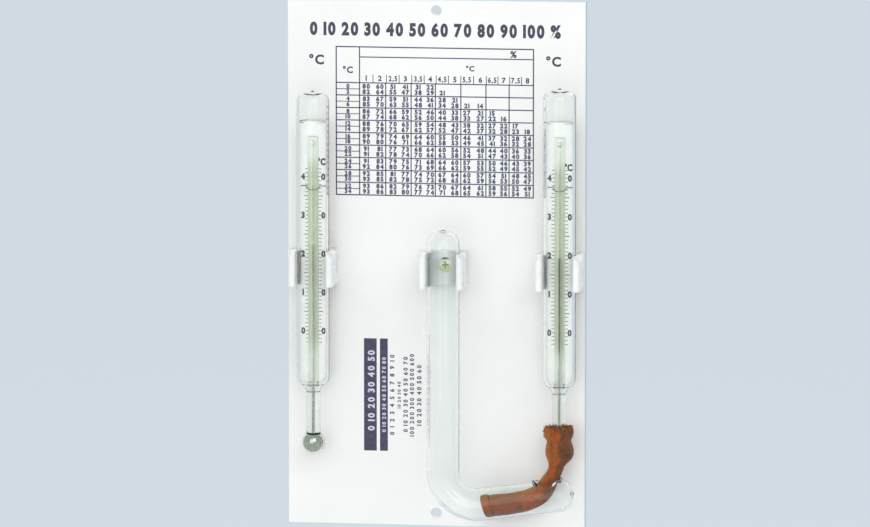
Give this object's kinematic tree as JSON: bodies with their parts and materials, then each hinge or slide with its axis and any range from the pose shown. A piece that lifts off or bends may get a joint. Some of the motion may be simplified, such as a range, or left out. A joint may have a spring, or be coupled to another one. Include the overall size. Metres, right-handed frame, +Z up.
{
  "type": "wall psychrometer",
  "caption": "Wall-hung psychrometer: dry and wet bulb glass thermometers with enclosed scales and a bent glass water reservoir, held in snap clips on a flat backboard.",
  "frame": {"origin": "centre of the backboard's back face, where it lies against the wall", "axes": "+Z up along the backboard's height, +Y into the wall, +X to the right as seen from the front; the front faces -Y"},
  "size_m": [0.139, 0.0264, 0.246],
  "materials": {
    "board": "white sheet plastic, faintly glossy",
    "clip": "white moulded plastic",
    "screw": "yellow passivated, dulled",
    "glass": "clear blown glass",
    "opal": "white opal glass with dark markings",
    "wire": "dull grey wire",
    "mercury": "liquid mirror",
    "wick": "stained knitted cotton"
  },
  "bodies": {
    "board": {"backboard": "board", "dry_clip": "clip", "reservoir_clip": "clip", "wet_clip": "clip", "clip_screws": "screw", "wick_neck": "wick"},
    "dry_thermometer": {"dry_sheath": "glass", "dry_stem": "glass", "dry_scale_plate": "opal", "dry_tie_wire": "wire", "dry_scale_spring": "wire", "dry_bulb_mercury": "mercury", "dry_mercury_thread": "mercury"},
    "dry_mercury": {"dry_mercury_head": "mercury"},
    "wet_thermometer": {"wet_sheath": "glass", "wet_stem": "glass", "wet_scale_plate": "opal", "wet_tie_wire": "wire", "wet_scale_spring": "wire", "wet_bulb_mercury": "mercury", "wet_mercury_thread": "mercury", "wick_sock": "wick"},
    "wet_mercury": {"wet_mercury_head": "mercury"},
    "reservoir_tube": {"reservoir": "glass", "wick_tail": "wick"}
  },
  "joints": [
    {"name": "dry_thermometer_lift", "type": "slide", "parent": "board", "child": "dry_thermometer", "axis": [0, 0, 1], "range_m": [0, 0.1]},
    {"name": "wet_thermometer_lift", "type": "slide", "parent": "board", "child": "wet_thermometer", "axis": [0, 0, 1], "range_m": [0, 0.015], "deforming": ["wick_neck"]},
    {"name": "reservoir_draw_down", "type": "slide", "parent": "board", "child": "reservoir_tube", "axis": [0, 0, -1], "range_m": [0, 0.032], "deforming": ["wick_neck", "wick_tail"]},
    {"name": "dry_mercury_rise", "type": "slide", "parent": "dry_thermometer", "child": "dry_mercury", "axis": [0, 0, 1], "range_m": [-0.0459, 0.0351], "deforming": ["dry_mercury_thread"]},
    {"name": "wet_mercury_rise", "type": "slide", "parent": "wet_thermometer", "child": "wet_mercury", "axis": [0, 0, 1], "range_m": [-0.04032, 0.04068], "deforming": ["wet_mercury_thread"]}
  ]
}
